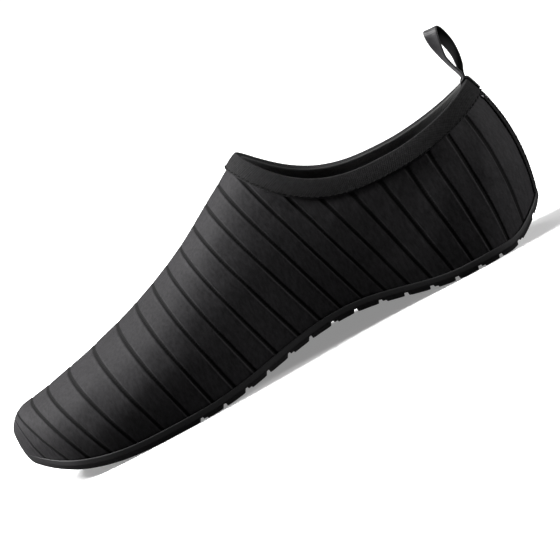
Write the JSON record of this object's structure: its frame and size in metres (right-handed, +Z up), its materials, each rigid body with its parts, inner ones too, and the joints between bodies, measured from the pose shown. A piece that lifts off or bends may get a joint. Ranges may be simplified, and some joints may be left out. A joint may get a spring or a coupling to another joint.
{
  "type": "water shoe",
  "caption": "Slip-on water shoe for the right foot: stretch-fabric upper with a bound collar and heel pull loop on a thin notched rubber sole.",
  "frame": {"origin": "on the floor, under the middle of the heel's flat spot", "axes": "+Z up, +X from the toe to the heel, so the toe points to -X; the inner side of the foot, with the arch, faces -Y"},
  "size_m": [0.2693, 0.1006, 0.1052],
  "materials": {
    "sole_rubber": "matte moulded black rubber",
    "upper_fabric": "charcoal black stretch fabric with a fine knit and a soft sheen",
    "insole_foam": "cloth-covered black foam",
    "binding_tape": "black woven tape",
    "heel_tape": "black woven tape",
    "loop_ribbon": "dark grey satin ribbon"
  },
  "bodies": {
    "root": {"outsole": "sole_rubber", "upper": "upper_fabric", "insole": "insole_foam", "collar_binding": "binding_tape", "heel_tape": "heel_tape", "pull_loop": "loop_ribbon"}
  },
  "joints": []
}
